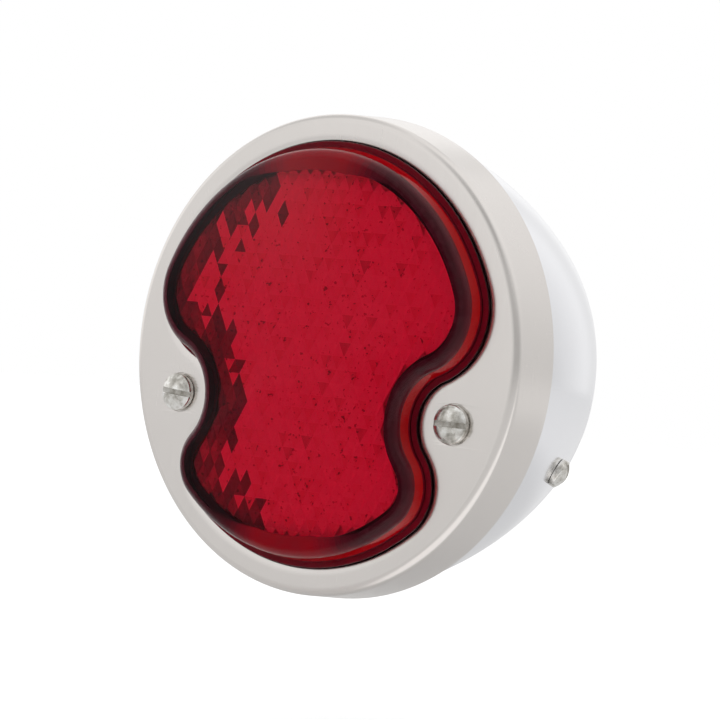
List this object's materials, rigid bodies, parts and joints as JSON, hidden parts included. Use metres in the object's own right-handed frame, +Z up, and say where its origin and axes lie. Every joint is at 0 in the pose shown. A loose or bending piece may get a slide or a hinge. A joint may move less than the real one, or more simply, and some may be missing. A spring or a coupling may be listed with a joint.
{
  "type": "tail light",
  "caption": "Round bowl-shaped vehicle tail light with a two-lobed red lens in a screwed metal bezel, a bayonet bulb inside and mounting studs on its flat back.",
  "frame": {"origin": "middle of the two mounting studs, on the flat back face that lies against the vehicle", "axes": "+Y backwards along the lamp's axis, out of the mounting face; -Y is where the lens faces; +Z up, with the wide lobe of the lens at the top; +X to the right as seen from in front"},
  "size_m": [0.108, 0.0832, 0.108],
  "materials": {
    "stainless_bowl": "satin-polished drawn stainless sheet",
    "inner_plate": "plain stainless sheet",
    "reflector_bright": "bright anodised inside",
    "stainless_bezel": "polished with a fine satin grain",
    "red_lens": "clear deep red moulded acrylic",
    "black_rubber": "matt rubber",
    "screw_nickel": "worn bright nickel",
    "zinc_steel": "zinc plated",
    "screw_nickel_side": "worn bright nickel",
    "stud_steel": "zinc plated, threaded",
    "socket_steel": "tinned steel",
    "fibre_board": "brown laminated fibre",
    "spring_steel": "bright spring wire",
    "brass": "plain brass",
    "black_glass": "black vitrified glass",
    "solder": "dull solder",
    "clear_glass": "clear blown glass",
    "lead_wire": "nickel wire",
    "tungsten": "grey tungsten coil"
  },
  "bodies": {
    "lamp": {"housing": "stainless_bowl", "seat_plate": "inner_plate", "reflector": "reflector_bright", "bezel": "stainless_bezel", "lens": "red_lens", "lens_gasket": "black_rubber", "bezel_screws": "screw_nickel", "bezel_nuts": "zinc_steel", "side_screws": "screw_nickel_side", "side_nuts": "zinc_steel", "mounting_studs": "stud_steel", "socket_shell": "socket_steel", "socket_insulator": "fibre_board", "contact_spring": "spring_steel"},
    "bulb": {"bulb_base": "brass", "bulb_pins": "brass", "bulb_insulator": "black_glass", "bulb_contacts": "solder", "bulb_glass": "clear_glass", "bulb_stem": "clear_glass", "support_wires": "lead_wire", "filaments": "tungsten"},
    "contact_carrier": {"contact_plate": "fibre_board", "plate_contacts": "brass"}
  },
  "joints": [
    {"name": "bulb_push", "type": "slide", "parent": "lamp", "child": "bulb", "axis": [0, 1, 0], "range_m": [0, 0.002], "stiffness_N_per_m": 1500, "springref_m": -0.008, "deforming": ["contact_spring"]},
    {"name": "contact_slide", "type": "slide", "parent": "lamp", "child": "contact_carrier", "axis": [0, 1, 0], "range_m": [0, 0.002]}
  ],
  "couplings": [
    {"joint": "contact_slide", "follows": "bulb_push", "ratio": 1}
  ]
}
